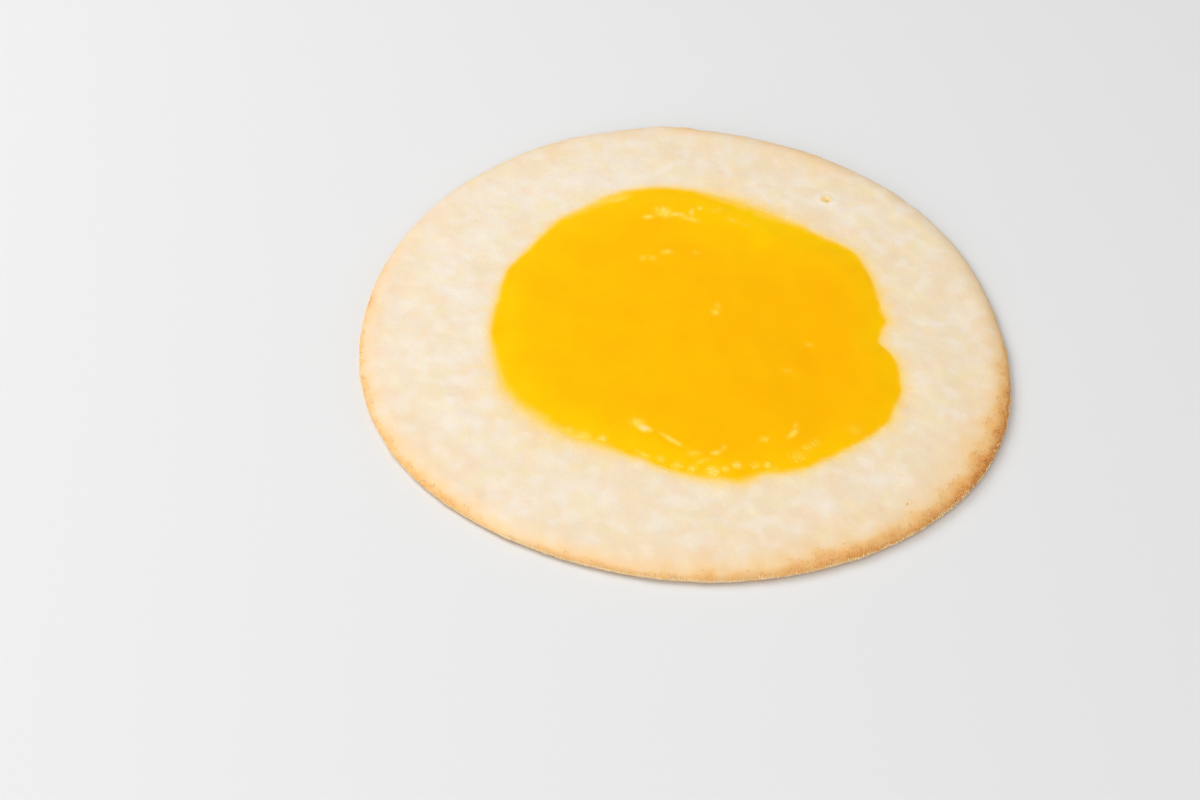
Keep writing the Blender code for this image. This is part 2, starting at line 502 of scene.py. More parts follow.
def toast(places, normals):
    """How browned each point is, from 0 to 1."""
    out, bearing = polar(places[:, :2], BISCUIT_MIDDLE)
    inset = np.maximum(biscuit_reach(bearing) - out, 0)
    blotches = lumps(places, 2.6 * MM, layer=7.3)
    freckles = lumps(places, 1.1 * MM, layer=3.1)
    strength, width_mm = by_bearing(TOASTING, bearing)
    strength = strength * (1 + 0.22 * freckles + 0.15 * blotches)
    width = width_mm * MM * np.clip(1 + 0.45 * blotches, 0.5, 2)
    rim = strength * np.exp(-((inset / width) ** FADE_POWER))
    # the rim is less browned below a wavering height
    lowest = (PALE_EDGE_MM + PALE_EDGE_WAVER_MM * lumps(places, 1.6 * MM, layer=5.1)) * MM
    rim *= 0.5 + 0.5 * smooth_step(lowest, lowest + PALE_EDGE_FADE, places[:, 2])
    broad, fine = lumps(places, 5.0 * MM, layer=9.7), lumps(places, 1.6 * MM, layer=2.2)
    under = UNDERSIDE_GOLD * (1 + 0.35 * broad + 0.2 * fine)
    facing_down = normals[:, 2] < -0.5
    return np.clip(np.where(facing_down, under, rim), 0, 1)


toasted = toast(places, read_normals(dough))
store(dough, "toast", toasted)
store(dough, "hot_side", 0.5 + 0.5 * np.cos(polar(places[:, :2], BISCUIT_MIDDLE)[1] - HOT_SIDE))
print("share of the dough's points that are browned:", round(float((toasted > BROWNED_FROM).mean()), 3))

# %% [markdown]
# ## Where the curd thins out
# Where the spoon wiped the curd out thin, its last millimetre or two is a pale film, and juice has soaked into
# the dough beyond it. Where it was left thick, the yellow ends within half a millimetre. A list says how wide
# the film and the stain are at each bearing. The dough stores how strongly it is stained, most at the curd's
# outline and fading outwards. The juice doesn't get through to the underside.

# %% Film and stain
# Bearing from the curd's own middle in degrees, width in mm of the film inside its outline, and of the stain
# outside it
THIN_EDGE = (
    (-165, 1.3, 0.9),
    (-150, 1.6, 1.5),
    (-130, 2.2, 1.3),
    (-115, 0.9, 0.7),
    (-100, 0.8, 0.6),
    (-82, 1.2, 0.9),
    (-68, 1.0, 0.6),
    (-45, 0.8, 0.6),
    (-20, 0.7, 0.9),
    (15, 0.8, 0.8),
    (30, 0.7, 0.6),
    (52, 1.0, 0.5),
    (66, 1.9, 1.3),
    (80, 2.3, 1.3),
    (90, 0.9, 0.6),
    (100, 0.8, 0.35),
    (107, 1.0, 0.3),
    (114, 2.0, 0.45),
    (130, 1.0, 0.4),
    (150, 0.6, 0.3),
    (165, 0.7, 0.4),
    (180, 0.8, 0.6),
)


def outside_curd(places):
    """How far each point lies outside the curd's outline, below zero inside it, and its bearing."""
    out, bearing = polar(places[:, :2], CURD_MIDDLE)
    return out - curd_reach(bearing), bearing


gap, around_curd = outside_curd(places)
_, stain_mm = by_bearing(THIN_EDGE, around_curd)
patchy = 1 + 0.6 * lumps(places, 1.1 * MM, layer=5.7)
stained = np.exp(-np.maximum(gap, 0) / (stain_mm * MM) * patchy)
store(dough, "soak", stained * (places[:, 2] > BELLY_HEIGHT))
print("the stain is", round(float(stain_mm.max()), 1), "mm wide at most")

# %% [markdown]
# ## The dough's small relief
# Baked dough is never smooth. Soft lumps of a millimetre or two and a fine unevenness are pushed along the
# surface's normals, a little deeper where it is toasted. Nearly all of the push is inwards, so the biscuit keeps
# its size. The rim also wavers a little, as a hand-cut edge does, and the underside only gets shallow pits,
# because it baked flat on a tray. The blister is a low ring round a small pit, with a ring of flour round both.

# %% Lumps and pits
LUMP_HEIGHT = 0.075 * MM
GRIT_HEIGHT = 0.05 * MM
WAVER_HEIGHT = 0.11 * MM
PIT_DEPTH = 0.25 * MM
BLISTER_RING = 0.05 * MM
BLISTER_PIT = 0.10 * MM
INWARDS = 0.45  # taken off the noise, so that its highest bumps end at the surface
# Middle and width of each ring round the blister, as shares of its radius
RING_PLACE = (0.95, 0.35)
PIT_PLACE = (0, 0.42)
FLOUR_PLACE = (1.5, 0.5)
FLOUR_SHARE = 0.35
# Each scorched spot, how dark it is, and how sharply it ends
SCORCHED = ((BLISTER, 0.4, 4), (BLISTER_CORE, 0.5, 3), (SPECK, 1.2, 3))


def halo(distance, middle, width):
    """A soft ring: 1 at its middle, fading both ways."""
    return np.exp(-(((distance - middle) / width) ** 2))


def relief(places, normals, toasted, from_blister):
    """How far each point is pushed along its normal."""
    lumpy = LUMP_HEIGHT * (lumps(turned(places), 1.9 * MM, layer=11.0) - INWARDS)
    gritty = GRIT_HEIGHT * (lumps(turned(places), 0.8 * MM, layer=17.0) - INWARDS) * (0.35 + 1.5 * toasted)
    upright = 1 - np.abs(normals[:, 2])
    wavering = WAVER_HEIGHT * (lumps(places, 3.6 * MM, layer=29.0) - INWARDS) * upright
    height = lumpy + gritty + wavering
    underneath = normals[:, 2] < -0.8
    pits = np.minimum(lumps(places, 1.4 * MM, layer=23.0) + 0.12, 0)  # only where the noise is low
    height[underneath] = PIT_DEPTH * pits[underneath]
    blister = BLISTER_RING * halo(from_blister, *RING_PLACE) - BLISTER_PIT * halo(from_blister, *PIT_PLACE)
    return height + np.where(underneath, 0, blister)


normals = read_normals(dough)
from_blister = spot_distance(places, BLISTER)
pushed = relief(places, normals, toasted, from_blister)
on_top = normals[:, 2] > 0
scorch = sum(dark * np.exp(-(spot_distance(places, spot) ** sharp)) for spot, dark, sharp in SCORCHED)
store(dough, "scorch", scorch * on_top)
store(dough, "flour", FLOUR_SHARE * halo(from_blister, *FLOUR_PLACE) * on_top)
places = places + normals * pushed[:, None]
places[:, 2] = np.maximum(places[:, 2], 0)
write_places(dough, places)
make_active(dough)
bpy.ops.object.shade_smooth()
print("relief from", (pushed.min() / MM).round(3), "to", (pushed.max() / MM).round(3), "mm")

# %% [markdown]
# ## Mixing colours
# Every finish below is a Principled surface whose colour is mixed from a few named ones. Colours are
# written as they look on screen and turned into the linear values that the shader wants.


# %% Material helpers
def on_screen(red, green, blue):
    """A colour as seen on screen, 0 to 255, as linear values."""
    shares = [channel / 255 for channel in (red, green, blue)]
    linear = [share / 12.92 if share <= 0.04045 else ((share + 0.055) / 1.055) ** 2.4 for share in shares]
    return (*linear, 1.0)


class Finish:
    """A material with a Principled surface, and short ways to add the nodes that drive it."""

    def __init__(self, name):
        self.material = bpy.data.materials.new(name)
        self.material.use_nodes = True
        self.nodes = self.material.node_tree.nodes
        self.links = self.material.node_tree.links
        self.surface = self.nodes["Principled BSDF"]
        turn = self.nodes.new("ShaderNodeMapping")
        turn.inputs["Rotation"].default_value = ODD_TURN
        self.links.new(self.nodes.new("ShaderNodeTexCoord").outputs["Object"], turn.inputs["Vector"])
        self.place = turn.outputs["Vector"]

    def connect(self, value, socket):
        """Links another node's output to a socket, or sets the socket to a plain value."""
        if isinstance(value, bpy.types.NodeSocket):
            self.links.new(value, socket)
        else:
            socket.default_value = value

    def set(self, **values):
        """Sets or connects the surface's sockets, named with underscores for spaces."""
        for name, value in values.items():
            self.connect(value, self.surface.inputs[name.replace("_", " ")])

    def noise(self, size, detail=2.0):
        """Noise with patches about this large, in metres."""
        node = self.nodes.new("ShaderNodeTexNoise")
        self.links.new(self.place, node.inputs["Vector"])
        node.inputs["Scale"].default_value = 1 / size
        node.inputs["Detail"].default_value = detail
        return node.outputs["Fac"]

    def stored(self, name):
        """A number that the mesh keeps for each point."""
        node = self.nodes.new("ShaderNodeAttribute")
        node.attribute_name = name
        return node.outputs["Fac"]

    def between(self, value, low, high, to_low=0.0, to_high=1.0, easing="SMOOTHSTEP"):
        """Takes the range low to high smoothly to another one."""
        node = self.nodes.new("ShaderNodeMapRange")
        node.interpolation_type = easing
        self.links.new(value, node.inputs["Value"])
        for name, limit in (("From Min", low), ("From Max", high), ("To Min", to_low), ("To Max", to_high)):
            node.inputs[name].default_value = limit
        return node.outputs["Result"]

    def evenly(self, value, low, high, to_low=0.0, to_high=1.0):
        """Takes the range low to high to another one in a straight line."""
        return self.between(value, low, high, to_low, to_high, "LINEAR")

    def maths(self, operation, first, second):
        node = self.nodes.new("ShaderNodeMath")
        node.operation = operation
        self.connect(first, node.inputs[0])
        self.connect(second, node.inputs[1])
        return node.outputs["Value"]

    def mix(self, share, first, second):
        """Colours first and second, mixed by share."""
        node = self.nodes.new("ShaderNodeMix")
        node.data_type = "RGBA"
        self.connect(share, node.inputs["Factor"])
        self.connect(first, node.inputs["A"])
        self.connect(second, node.inputs["B"])
        return node.outputs["Result"]

    def bump(self, height, distance, under=None):
        """Normals that look raised by height times distance, over those of another bump if one is given."""
        node = self.nodes.new("ShaderNodeBump")
        node.inputs["Distance"].default_value = distance
        self.links.new(height, node.inputs["Height"])
        if under is not None:
            self.links.new(under, node.inputs["Normal"])
        return node.outputs["Normal"]


# %% [markdown]
# ## Pale dough, toasted rim
# Noise of several sizes makes the dough mottled: broad warm and cool areas, and faint peach, yellow and floury
# patches of a millimetre or two. Browning then goes from cream through gold and amber to brown, and the curd's
# stain goes over the top. A little light passes through the dough, which subsurface scattering gives.

# %% Dough material
CREAM = on_screen(237, 223, 203)
WARM_CREAM = on_screen(236, 216, 185)
PEACH = on_screen(238, 211, 180)
BUTTER = on_screen(238, 221, 178)
FLOURY = on_screen(240, 230, 217)
GOLD = on_screen(239, 196, 132)
AMBER = on_screen(229, 162, 85)
BROWN = on_screen(204, 130, 58)
STAIN = on_screen(251, 208, 102)
CARAMEL = on_screen(242, 205, 126)
DARK_CARAMEL = on_screen(160, 112, 56)
# Tint, size of its patches, and its share where it is strongest
TINTS = (
    (PEACH, 3.3 * MM, 0.6),
    (BUTTER, 3.8 * MM, 0.5),
    (FLOURY, 2.6 * MM, 0.5),
    (BUTTER, 1.5 * MM, 0.25),
)
# How toasted, stained or scorched the dough is where a colour starts, and where it is full
GOLD_RANGE = (0.0, 0.42)
AMBER_RANGE = (0.3, 0.7)
BROWN_RANGE = (0.55, 1.0)
CARAMEL_RANGE = (0.0, 0.6)
DARK_CARAMEL_RANGE = (0.6, 1.1)
MOST_STAINED = 0.97


def mottled_dough(finish):
    """Cream dough, warmer on the side that was hotter in the oven, with faint patches of other tints."""
    hotter = finish.between(finish.stored("hot_side"), 0, 1, -0.12, 0.17)
    warm = finish.maths("ADD", finish.noise(6 * MM, 1), hotter)
    colour = finish.mix(finish.between(warm, 0.34, 0.66), CREAM, WARM_CREAM)
    for tint, size, most in TINTS:
        colour = finish.mix(finish.between(finish.noise(size, 1), 0.45, 0.72, 0, most), colour, tint)
    return finish.mix(finish.stored("flour"), colour, FLOURY)


def toasted_over(finish, colour, grain):
    """The dough's colour with its browning, which breaks up into darker and lighter grains."""
    toasted = finish.stored("toast")
    speckled = finish.maths("MULTIPLY", toasted, finish.between(grain, 0.3, 0.7, 0.75, 1.3))
    colour = finish.mix(finish.evenly(toasted, *GOLD_RANGE), colour, GOLD)
    colour = finish.mix(finish.evenly(toasted, *AMBER_RANGE), colour, AMBER)
    return finish.mix(finish.evenly(speckled, *BROWN_RANGE), colour, BROWN)


def dough_finish():
    finish = Finish("pale_toasted_dough")
    grain = finish.noise(0.4 * MM)
    colour = toasted_over(finish, mottled_dough(finish), grain)
    colour = finish.mix(finish.evenly(finish.stored("soak"), 0, 1, 0, MOST_STAINED), colour, STAIN)
    scorched = finish.stored("scorch")
    colour = finish.mix(finish.between(scorched, *CARAMEL_RANGE), colour, CARAMEL)
    colour = finish.mix(finish.between(scorched, *DARK_CARAMEL_RANGE), colour, DARK_CARAMEL)
    lift = finish.bump(finish.noise(0.9 * MM), 0.04 * MM)
    lift = finish.bump(grain, 0.04 * MM, lift)
    finish.set(Base_Color=colour, Normal=lift, Roughness=finish.between(grain, 0.2, 0.8, 0.62, 0.86))
    finish.set(Specular_IOR_Level=0.3, Subsurface_Weight=0.25, Subsurface_Scale=0.7 * MM)
    finish.set(Subsurface_Radius=(1.0, 0.65, 0.35))
    return finish.material


dough.data.materials.append(dough_finish())
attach(dough, "root")
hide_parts("biscuit")
print("dough finish has", len(dough.data.materials[0].node_tree.nodes), "nodes")

# %% [markdown]
# ## The curd
# The curd is a thin layer that follows the dough below it. It starts with a low lip at its outline and rises
# gently from there to its full height. The outline is drawn as a ring, a few rings follow inwards for the
# lip, and a grid fills the middle. A foot below closes it, sunk into the dough. The faces are divided again
# along the front, where bubbles gathered, and at the back, where the spoon left wrinkles.

# %% Curd blank
CURD_POINTS = 640
CURD_RISE = 0.26 * MM
CURD_FOOT = 0.15 * MM  # how far its hidden underside lies below the dough's surface
CURD_FOOT_INSET = 0.4 * MM
CURD_GRID_INSET, CURD_GRID_POINTS = 3 * MM, 120
LENS_INSETS = [inset * MM for inset in (0, 0.12, 0.26, 0.42, 0.6, 0.8, 1.05, 1.3)]
BLANK_STEP_MM = 0.01  # each of these rings lies this much higher than the one outside it
curd = start_ring("curd", CURD_POINTS, CURD_RADIUS, 0)
lens_stops = [(CURD_RADIUS - inset, index * BLANK_STEP_MM * MM) for index, inset in enumerate(LENS_INSETS)]
draw_rings(lens_stops)
pick_rings(curd, lens_stops[-1])
bpy.ops.mesh.fill_grid(span=CURD_POINTS // 4)
pick_rings(curd, (CURD_RADIUS, 0))
foot_stops = [(CURD_RADIUS, 0), (CURD_RADIUS - CURD_FOOT_INSET, -CURD_FOOT)]
draw_rings(foot_stops)
close_with_grid(curd, foot_stops[-1], (CURD_RADIUS - CURD_GRID_INSET, -CURD_FOOT), CURD_GRID_POINTS)
leave_edit(curd)

# %% Finer faces for bubbles and wrinkles
# Bearings in degrees, and how far from the curd's middle in mm
FINE_AREAS = ((-138, -42, 17.0, 27), (70, 112, 20.8, 25.5))


def in_fine_area(point):
    bearing = math.degrees(math.atan2(point.y, point.x))
    out = math.hypot(point.x, point.y) / MM
    inside = [first < bearing < last and near < out < far for first, last, near, far in FINE_AREAS]
    return point.z > -BLANK_STEP_MM * MM and any(inside)


refine(curd, in_fine_area, cuts=2)

# %% [markdown]
# ## Spoon marks and bubbles
# The curd isn't a mirror. Dragging the spoon away left a few short ridges, and tiny bubbles gathered in
# clusters just inside its front edge. Ridges are soft bumps with a length, a width and a turn. Bubbles are
# small low domes, scattered round the middle of each cluster by a seeded random draw, so that they are the
# same each run. Both are paler than the curd round them, partly because they are thin or full of air and
# partly as painted highlights, the glints that wet ridges and bubbles catch. Each point stores a number that
# tells the material where they are.

# %% Raised marks
# Across and back in mm from the biscuit's middle, length and width in mm, turn in degrees, strength
SPOON_MARKS = (
    (-6.2, -16.5, 1.8, 1.3, -30, 0.24),
    (-5.3, -17.6, 1.6, 0.9, -32, 1.00),
    (-2.0, -19.4, 2.9, 0.7, -40, 0.38),
    (-5.6, -21.7, 2.0, 0.5, -32, 0.35),
    (0.8, -21.8, 1.6, 1.2, 0, 0.12),
    (1.8, -23.0, 2.0, 0.6, 25, 0.16),
    (3.5, -21.6, 1.2, 0.8, 20, 0.34),
    (4.5, -20.7, 0.8, 0.7, 40, 0.34),
    (9.6, -19.3, 1.1, 0.9, 10, 0.22),
    (13.6, -17.2, 1.8, 0.6, 75, 0.18),
    (13.2, -18.5, 1.7, 0.8, 50, 0.27),
    (-2.3, 22.8, 2.3, 1.7, -35, 0.38),
    (-4.4, 21.9, 1.3, 0.8, 10, 0.34),
    (-0.4, 22.4, 1.8, 0.7, -5, 0.40),
    (1.2, 21.5, 2.4, 0.8, -20, 0.30),
    (1.5, 22.8, 1.6, 0.7, 80, 0.28),
    (2.7, 23.6, 0.9, 0.8, 0, 0.28),
    (4.9, 23.1, 1.5, 0.8, 20, 0.16),
    (6.9, 21.1, 1.4, 0.8, -20, 0.15),
    (8.6, 20.3, 1.2, 0.7, -20, 0.08),
    (-1.9, 14.8, 1.5, 0.9, 8, 0.26),
    (-5.2, 13.7, 0.9, 0.8, 0, 0.16),
    (-3.9, 13.7, 0.8, 1.0, 60, 0.18),
    (1.9, 14.7, 0.9, 0.8, 0, 0.12),
    (-8.6, 25.7, 3.2, 1.1, 20, 0.40),
    (4.1, 3.4, 0.8, 1.0, 0, 0.36),
    (4.5, 4.5, 0.8, 1.2, 0, 0.16),
    (16.0, -2.6, 0.8, 0.6, 30, 0.28),
    (13.0, -7.3, 1.2, 0.9, 0, 0.09),
)
RIDGE_HEIGHT = 0.07 * MM
# Across and back in mm from the biscuit's middle, spread in mm, number of bubbles, strength
BUBBLE_CLUSTERS = (
    (-13.0, -18.5, 0.7, 10, 1.0),
    (-10.6, -19.0, 0.5, 9, 1.0),
    (-3.4, -22.6, 0.5, 4, 0.6),
    (-1.4, -23.6, 0.5, 4, 0.7),
    (0.5, -24.2, 0.5, 5, 0.8),
    (3.0, -24.6, 0.7, 11, 1.1),
    (4.6, -24.3, 0.4, 4, 0.9),
    (6.0, -23.7, 0.5, 7, 1.0),
    (8.4, -23.6, 0.5, 3, 0.5),
    (9.8, -23.6, 0.4, 4, 1.0),
    (10.6, -24.2, 0.5, 5, 0.4),
    (13.7, -22.2, 0.8, 8, 0.35),
    (14.9, -20.8, 0.6, 6, 0.3),
    (15.9, -20.0, 0.6, 5, 0.3),
    (21.0, -17.6, 0.8, 6, 0.25),
    (-14.8, -17.6, 0.6, 5, 0.6),
)
BUBBLE_SIZES = (0.12 * MM, 0.25 * MM)  # radius
BUBBLE_RISE = 0.25  # height as a share of the radius
# how pale each bubble is, partly froth and partly a painted glint
BUBBLE_PALENESS_AND_GLINT = (0.2, 0.9)  # as a share of its cluster's strength
CLUSTER_SHAPE = (1, 0.8)  # a cluster is a little wider than deep
DRAW_WIDTH = 0.6  # standard deviation of the draw, as a share of the spread
# the pale foam between a cluster's bubbles is partly a painted glint
FOAM_AND_GLINT = 0.25  # how pale the curd looks between a cluster's bubbles


def ridge(places, mark):
    """How strongly one long soft patch shows at each point, up to its strength."""
    across, back, length, width, turn, strength = mark
    arm = places[:, :2] - BISCUIT_MIDDLE - np.array((across, back)) * MM
    cosine, sine = math.cos(math.radians(turn)), math.sin(math.radians(turn))
    along = (arm[:, 0] * cosine + arm[:, 1] * sine) / (length * MM / 2)
    beside = (arm[:, 1] * cosine - arm[:, 0] * sine) / (width * MM / 2)
    return strength * np.exp(-((along**2 + beside**2) ** 1.3))


def spoon_marks(places):
    """How strongly all the ridges together show at each point, broken up by noise."""
    broken = np.clip(0.75 + 0.9 * lumps(turned(places * (1, 1, 0)), 0.6 * MM, layer=41.0), 0.2, 1)
    return np.clip(sum(ridge(places, mark) for mark in SPOON_MARKS) * broken, 0, 1)


def bubbles(places):
    """Height of the bubbles, and how pale they are, which is partly a painted glint."""
    chance = np.random.default_rng(7)
    height = np.zeros(len(places))
    pale = np.zeros(len(places))
    for across, back, spread, count, strength in BUBBLE_CLUSTERS:
        for _ in range(count):
            off = chance.normal(0, spread * DRAW_WIDTH, 2) * CLUSTER_SHAPE
            middle = BISCUIT_MIDDLE + (np.array((across, back)) + off) * MM
            size = chance.uniform(*BUBBLE_SIZES)
            distance, _ = polar(places[:, :2], middle)
            dome = np.clip(1 - (distance / size) ** 2, 0, 1) ** 1.5
            height = np.maximum(height, BUBBLE_RISE * size * dome)
            pale = np.maximum(pale, strength * chance.uniform(*BUBBLE_PALENESS_AND_GLINT) * dome)
        distance, _ = polar(places[:, :2], BISCUIT_MIDDLE + np.array((across, back)) * MM)
        pale = np.maximum(pale, FOAM_AND_GLINT * strength * np.exp(-((distance / (spread * MM)) ** 2)))
    return height, pale


# %% [markdown]
# ## Laying the curd on the dough
# The flat blank is pulled out to the curd's own outline. A ray is then sent down through each of its points to
# find the finished dough below, and the point is set that high plus the curd's thickness there. Near the outline
# the curd follows every small lump, and further in its surface is calmer than the dough's.

# %% Curd form
EDGE_SINK = 0.008 * MM  # its outline dips this far into the dough, so no gap shows
LIP_HEIGHT = 0.022 * MM
LIP_WIDTH = 0.7 * MM
LENS_WIDTH = 4.5 * MM
CALM_WIDTH = 2.5 * MM  # over this width its surface leaves the dough's small lumps behind
# Height and length of the gentle waves in its surface
BROAD_WAVE = (0.05 * MM, 6.0 * MM)
SHORT_WAVE = (0.02 * MM, 1.7 * MM)


def lens(inset):
    """Height of the curd over the dough at a distance in from its outline: a low lip, then a long gentle rise."""
    lip = smooth_step(0, LIP_WIDTH, inset)
    rise = smooth_step(0, LENS_WIDTH, inset)
    return LIP_HEIGHT * lip + (CURD_RISE - LIP_HEIGHT) * rise - EDGE_SINK * (1 - lip)


def dough_under(places):
    """Height of the finished dough's surface below each point."""
    tree = BVHTree.FromObject(dough, bpy.context.evaluated_depsgraph_get())
    above = 10 * MM
    down = Vector((0, 0, -1))
    hits = [tree.ray_cast(Vector((x, y, above)), down)[0] for x, y, _ in places]
    return np.array([hit.z for hit in hits])


places = read_places(curd)
foot = places[:, 2] < -0.5 * CURD_FOOT
places = pull_to_outline(places, CURD_RADIUS, curd_reach, CURD_MIDDLE)
gap, bearing = outside_curd(places)
inset = np.maximum(-gap, 0)
rough_base = dough_under(places)
calm_base = MIDDLE_HEIGHT + swell(places) - LUMP_HEIGHT * 0.5  # about the lumps' mean level
base = rough_base + (calm_base - rough_base) * smooth_step(0, CALM_WIDTH, inset)
flat = turned(places * (1, 1, 0))
waves = BROAD_WAVE[0] * lumps(flat, BROAD_WAVE[1], layer=31.0)
waves += SHORT_WAVE[0] * lumps(flat, SHORT_WAVE[1], layer=37.0)
ridges = spoon_marks(places)
domes, dome_pale_and_glint = bubbles(places)
rise = lens(inset) + waves * smooth_step(0, LENS_WIDTH, inset)
rise += (RIDGE_HEIGHT * ridges + domes) * smooth_step(0, LIP_WIDTH, inset)
places[:, 2] = base + np.where(foot, -CURD_FOOT, rise)
write_places(curd, places)
print("curd stands", round(float(rise.max() / MM), 2), "mm above the dough")

# %% [markdown]
# ## The curd's colour
# Curd is yellow from egg yolk, and deeper where it lies thick. Towards the back it was spread thinner, and there
# it is paler. In its film it thins out to the same pale yellow that it leaves on the dough, so no line shows
# between the two. Its surface is wet and glossy, but the film has dried and is dull. A thin film also doesn't
# glow as thick curd does, so it gets no subsurface scattering.

# %% Curd material
EGG_YELLOW = on_screen(255, 201, 0)
DEEP_YELLOW = on_screen(254, 181, 0)
ORANGE_YELLOW = on_screen(247, 168, 0)
# Bright yellow and the froth colour paint the pale marks and bubbles, partly as painted highlights
BRIGHT_YELLOW = on_screen(255, 209, 66)
FROTH_AND_GLINT = on_screen(255, 223, 164)
# Across and back in mm from the biscuit's middle, length and width in mm, turn in degrees, strength
SMEAR = (15.4, -5.4, 8.0, 3.6, -60, 1.0)
THIN_PATCH = (9.5, 19.5, 24.0, 13.0, -25, 0.55)
DEPTHS = (-0.6, 1)  # palest and deepest
# The yellow deepens from left to right over twice this reach, and from the outline in over this inset
SIDE_REACH = 22 * MM
DEEP_INSET = 8 * MM
WIDE_FILM = 2.2 * MM  # a film this wide takes the most depth from the edge


def curd_depth(places, inset, film_width):
    """How deep the yellow looks: least at a thin edge, at the left and in the thin patch, and most at the right."""
    across = smooth_step(-SIDE_REACH, SIDE_REACH, places[:, 0])
    inside = smooth_step(0, DEEP_INSET, inset)
    thin = film_width / WIDE_FILM * (1 - inside)
    depth = 0.1 + 0.3 * inside + 0.45 * across * (0.5 + 0.5 * inside) - 0.25 * thin
    return np.clip(depth - ridge(places, THIN_PATCH), *DEPTHS)


def curd_finish():
    finish = Finish("lemon_curd")
    cloudy = finish.between(finish.noise(5 * MM), 0.3, 0.7, -0.15, 0.15)
    deep = finish.maths("ADD", finish.stored("depth"), cloudy)
    colour = finish.mix(finish.between(deep, *DEPTHS), EGG_YELLOW, DEEP_YELLOW)
    colour = finish.mix(finish.between(finish.stored("smear"), 0, 1, 0, 0.5), colour, ORANGE_YELLOW)
    film = finish.stored("film")
    colour = finish.mix(film, colour, STAIN)
    # paleness of the spoon marks and bubbles, partly painted highlights
    froth_and_glint = finish.stored("froth_and_glint")
    colour = finish.mix(finish.evenly(froth_and_glint, 0, 0.2), colour, BRIGHT_YELLOW)
    colour = finish.mix(finish.evenly(froth_and_glint, 0.2, 1, 0, 0.9), colour, FROTH_AND_GLINT)
    lift = finish.bump(finish.noise(1.2 * MM), 0.02 * MM)
    finish.set(Base_Color=colour, Normal=lift, Roughness=finish.between(film, 0, 0.5, 0.35, 0.6))
    finish.set(Specular_IOR_Level=0.18, Subsurface_Scale=0.8 * MM, Subsurface_Radius=(1.0, 0.6, 0.05))
    finish.set(Subsurface_Weight=finish.between(film, 0, 0.3, 0.15, 0))
    finish.set(Specular_Tint=(1.0, 0.85, 0.2, 1.0))  # keeps the gloss from greying the yellow
    return finish.material


film_mm, _ = by_bearing(THIN_EDGE, bearing)
film_width = film_mm * MM * (1 + 0.4 * lumps(places, 1.1 * MM, layer=13.0))
smeared = np.clip(0.8 + 0.6 * lumps(places, 2.5 * MM, layer=19.0), 0, 1)
store(curd, "film", np.clip(1 - inset / film_width, 0, 1) ** 2)
store(curd, "depth", curd_depth(places, inset, film_width))
# paleness of the spoon marks and bubbles, partly painted glints
store(curd, "froth_and_glint", np.maximum(ridges, dome_pale_and_glint))
store(curd, "smear", ridge(places, SMEAR) * smeared)
print("share of the curd's points in the film:", round(float((inset < film_width).mean()), 3))

# %% Dress the curd
CRISP_ANGLE = math.radians(60)  # keeps its outline sharp
make_active(curd)
bpy.ops.object.shade_smooth_by_angle(angle=CRISP_ANGLE)
curd.data.materials.append(curd_finish())
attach(curd, "root")
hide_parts("lemon_topping")
print("curd finish has", len(curd.data.materials[0].node_tree.nodes), "nodes")

# %% [markdown]
# ## Sand and crumbs on the rim
# Close up, the toasted rim is sandy: coarse sugar and flour baked to golden grains. Along its lowest edge, in
# front, the dough crumbled a little where it was cut, and those crumbs stayed pale. One grain is modelled, a
# small ball squashed and cut flat on top, and copied with its own mesh to places drawn at random. Each copy gets
# its own size and turn and is partly sunk in. All of them are joined into one piece.

# %% Model one grain
SAND_COUNT = 1300
CRUMB_COUNT = 420
SAND_SIZES = (0.045 * MM, 0.11 * MM)  # radius
CRUMB_SIZES = (0.07 * MM, 0.17 * MM)
GRAIN_SHAPE = (1.0, 0.8, 0.62)
GRAIN_CUT = 0.5  # height of the flat cut, as a share of the radius
GRAIN_LIFT = 0.3  # how far its middle stands over the dough, as a share of the radius
CRUMB_BEARINGS = (-125, 12)
CRUMB_LEVEL = 0.82 * MM  # the crumbs lie in a band at about this height
CRUMB_BAND = 0.2 * MM
CRUMB_LOWEST = 0.3 * MM


def model_grain():
    bpy.ops.object.select_all(action="DESELECT")
    bpy.ops.mesh.primitive_ico_sphere_add(subdivisions=1, radius=1, location=(0, 0, 0))
    grain = bpy.context.active_object
    bpy.ops.object.mode_set(mode="EDIT")
    bpy.ops.transform.resize(value=GRAIN_SHAPE, center_override=(0, 0, 0))
    bpy.ops.mesh.bisect(plane_co=(0, 0, GRAIN_CUT), plane_no=(0.2, 0, 1), clear_outer=True, use_fill=True)
    bpy.ops.object.mode_set(mode="OBJECT")
    return grain


def faces_of(piece):
    """Middle, normal and area of every face."""
    count = len(piece.data.polygons)
    centres, normals, areas = np.empty(count * 3), np.empty(count * 3), np.empty(count)
    piece.data.polygons.foreach_get("center", centres)
    piece.data.polygons.foreach_get("normal", normals)
    piece.data.polygons.foreach_get("area", areas)
    return centres.reshape(-1, 3), normals.reshape(-1, 3), areas


grain = model_grain()
print("one grain has", len(grain.data.polygons), "faces")

